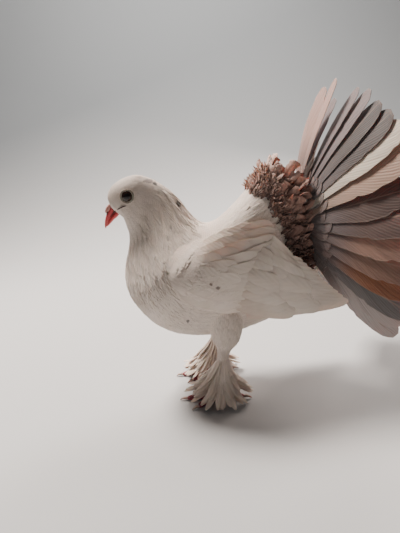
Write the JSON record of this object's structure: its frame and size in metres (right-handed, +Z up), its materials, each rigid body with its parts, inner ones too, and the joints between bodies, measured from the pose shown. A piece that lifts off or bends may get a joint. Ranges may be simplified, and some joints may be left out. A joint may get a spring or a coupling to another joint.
{
  "type": "fantail pigeon",
  "caption": "Life-size standing fantail pigeon with a white body, folded wings, a wide upright brown fan of tail feathers and feathered feet.",
  "frame": {"origin": "on the floor, under the middle of the bird's bounding box", "axes": "+Z up, the bird looks along -Y, its left side is +X"},
  "size_m": [0.2114, 0.2176, 0.2553],
  "materials": {
    "white_plumage": "soft matt feather",
    "tail_feathers": "matt feather, brown and grey",
    "eye": "wet gloss",
    "bill": "satin horn",
    "toe_skin": "scaled skin",
    "claw": "satin horn"
  },
  "bodies": {
    "root": {"head": "white_plumage", "eye_left": "eye", "eye_right": "eye", "bill_upper": "bill", "bill_lower": "bill", "neck": "white_plumage", "torso": "white_plumage", "wing_left": "white_plumage", "wing_right": "white_plumage", "tail": "tail_feathers", "leg_left": "white_plumage", "leg_right": "white_plumage", "foot_left": "toe_skin", "foot_right": "toe_skin", "claw_inner_left": "claw", "claw_middle_left": "claw", "claw_outer_left": "claw", "claw_hind_left": "claw", "claw_inner_right": "claw", "claw_middle_right": "claw", "claw_outer_right": "claw", "claw_hind_right": "claw"}
  },
  "joints": []
}
